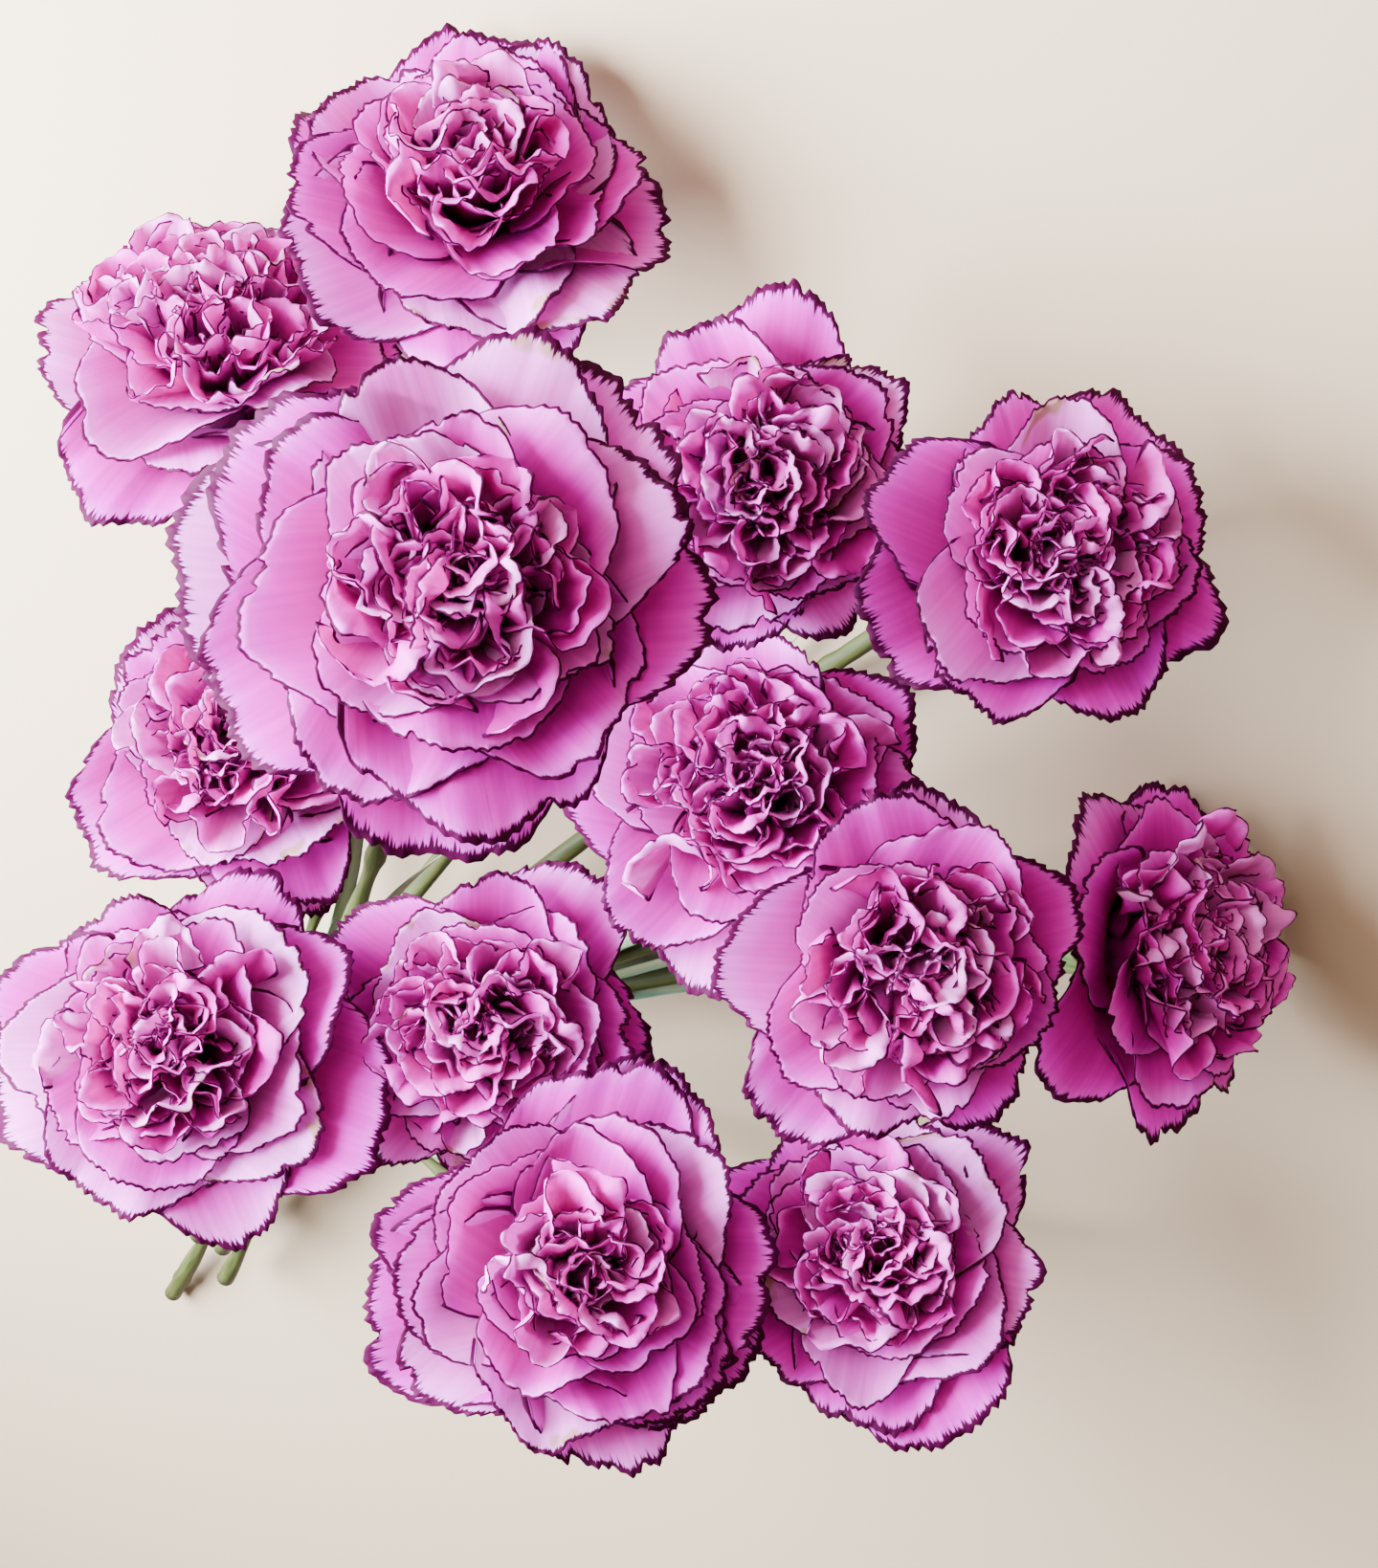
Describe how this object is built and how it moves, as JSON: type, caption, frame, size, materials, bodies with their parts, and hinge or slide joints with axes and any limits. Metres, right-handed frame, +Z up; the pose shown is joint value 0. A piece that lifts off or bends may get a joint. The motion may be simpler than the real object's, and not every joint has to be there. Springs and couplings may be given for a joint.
{
  "type": "bunch of carnations",
  "caption": "Loose bunch of cut carnations lying on a table: ruffled lavender-pink blooms with dark toothed edges on jointed green stems that draw together behind the heads.",
  "frame": {"origin": "middle of the bunch's footprint, on the table it lies on", "axes": "-Y towards the heads, +Y along the stems to the cut ends, +Z up from the table"},
  "size_m": [0.3058, 0.4584, 0.164],
  "materials": {
    "petal": "soft, satin",
    "calyx": "waxy",
    "stem": "waxy",
    "leaf": "waxy"
  },
  "bodies": {
    "root": {"stem_01": "stem", "stem_02": "stem", "stem_03": "stem", "stem_04": "stem", "stem_05": "stem", "stem_06": "stem", "stem_07": "stem", "stem_08": "stem", "stem_09": "stem", "stem_10": "stem", "stem_11": "stem", "stem_12": "stem", "stem_13": "stem", "calyx_01": "calyx", "calyx_02": "calyx", "calyx_03": "calyx", "calyx_04": "calyx", "calyx_05": "calyx", "calyx_06": "calyx", "calyx_07": "calyx", "calyx_08": "calyx", "calyx_09": "calyx", "calyx_10": "calyx", "calyx_11": "calyx", "calyx_12": "calyx", "calyx_13": "calyx", "petals_01": "petal", "petals_02": "petal", "petals_03": "petal", "petals_04": "petal", "petals_05": "petal", "petals_06": "petal", "petals_07": "petal", "petals_08": "petal", "petals_09": "petal", "petals_10": "petal", "petals_11": "petal", "petals_12": "petal", "petals_13": "petal", "leaves_01": "leaf", "leaves_02": "leaf", "leaves_03": "leaf", "leaves_04": "leaf", "leaves_05": "leaf", "leaves_06": "leaf", "leaves_07": "leaf", "leaves_08": "leaf", "leaves_09": "leaf", "leaves_10": "leaf", "leaves_11": "leaf", "leaves_12": "leaf", "leaves_13": "leaf", "leaves_14": "leaf", "leaves_15": "leaf", "leaves_16": "leaf", "leaves_17": "leaf", "leaves_18": "leaf", "leaves_19": "leaf", "leaves_20": "leaf"}
  },
  "joints": []
}
